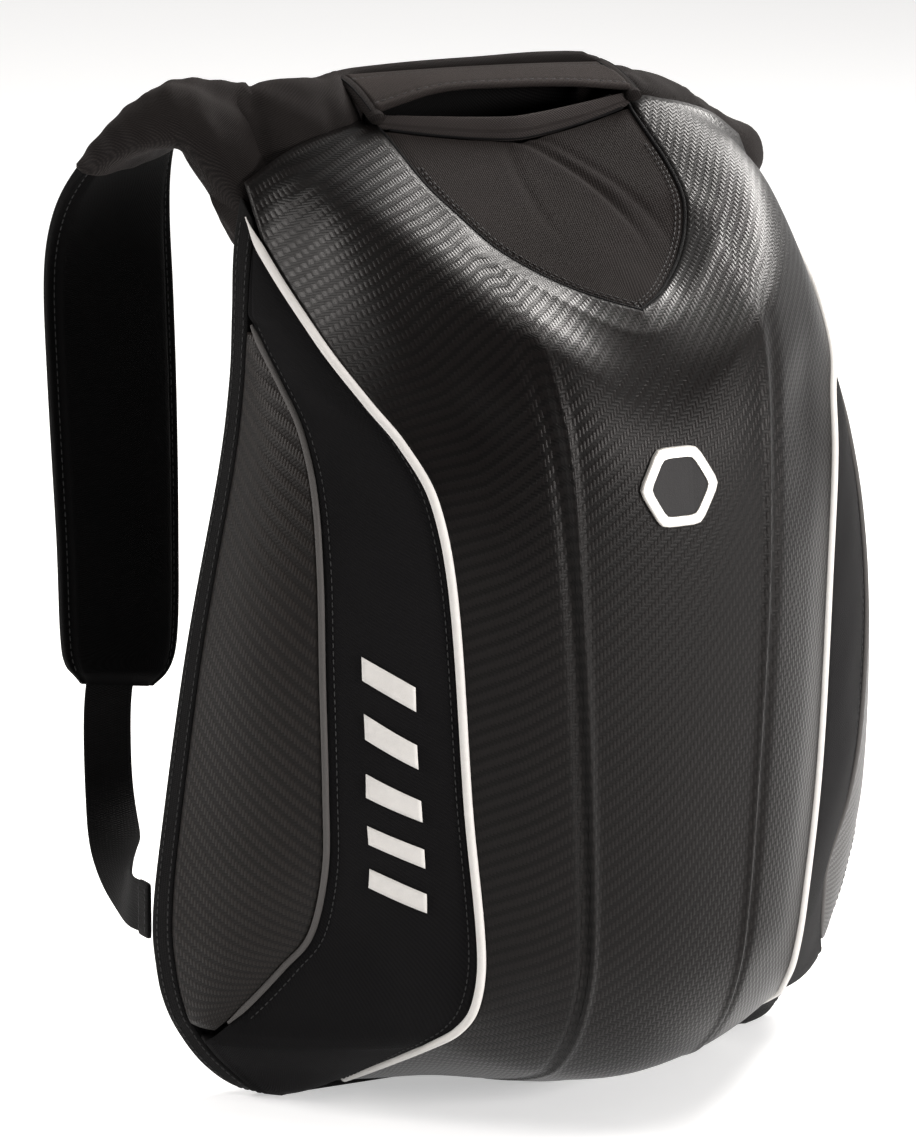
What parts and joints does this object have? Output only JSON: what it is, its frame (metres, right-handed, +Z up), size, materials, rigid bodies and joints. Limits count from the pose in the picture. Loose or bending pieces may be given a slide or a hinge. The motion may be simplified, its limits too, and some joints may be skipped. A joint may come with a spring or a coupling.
{
  "type": "hard shell backpack",
  "caption": "Backpack with a moulded hard front shell, woven side panels, a carry handle over a hand pocket, and two padded shoulder straps.",
  "frame": {"origin": "middle of the flat underside of the base binding, on the floor that the bag stands on", "axes": "+Z up, -Y towards the hard shell, +Y towards the wearer's back, +X to the right of someone facing the shell"},
  "size_m": [0.3873, 0.2764, 0.486],
  "materials": {
    "film": "satin",
    "side_film": "satin",
    "cloth": "matte",
    "twill": "matte",
    "reflective": "satin",
    "grey_trim": "satin",
    "webbing": "matte",
    "inlay": "matte"
  },
  "bodies": {
    "root": {"hard_shell": "film", "top_patch": "twill", "pocket_lip": "twill", "pocket_lining": "cloth", "carry_handle": "twill", "harness_yoke": "twill", "side_wing_left": "side_film", "side_wing_right": "side_film", "side_gusset_left": "cloth", "side_gusset_right": "cloth", "piping_left": "reflective", "piping_right": "reflective", "trim_left": "grey_trim", "trim_right": "grey_trim", "edge_binding_left": "webbing", "edge_binding_right": "webbing", "edge_binding_base": "webbing", "back_panel": "cloth", "shoulder_strap_left": "cloth", "shoulder_strap_right": "cloth", "strap_webbing_left": "webbing", "strap_webbing_right": "webbing", "webbing_anchor_left": "webbing", "webbing_anchor_right": "webbing", "badge_ring": "reflective", "badge_inlay": "inlay"}
  },
  "joints": []
}
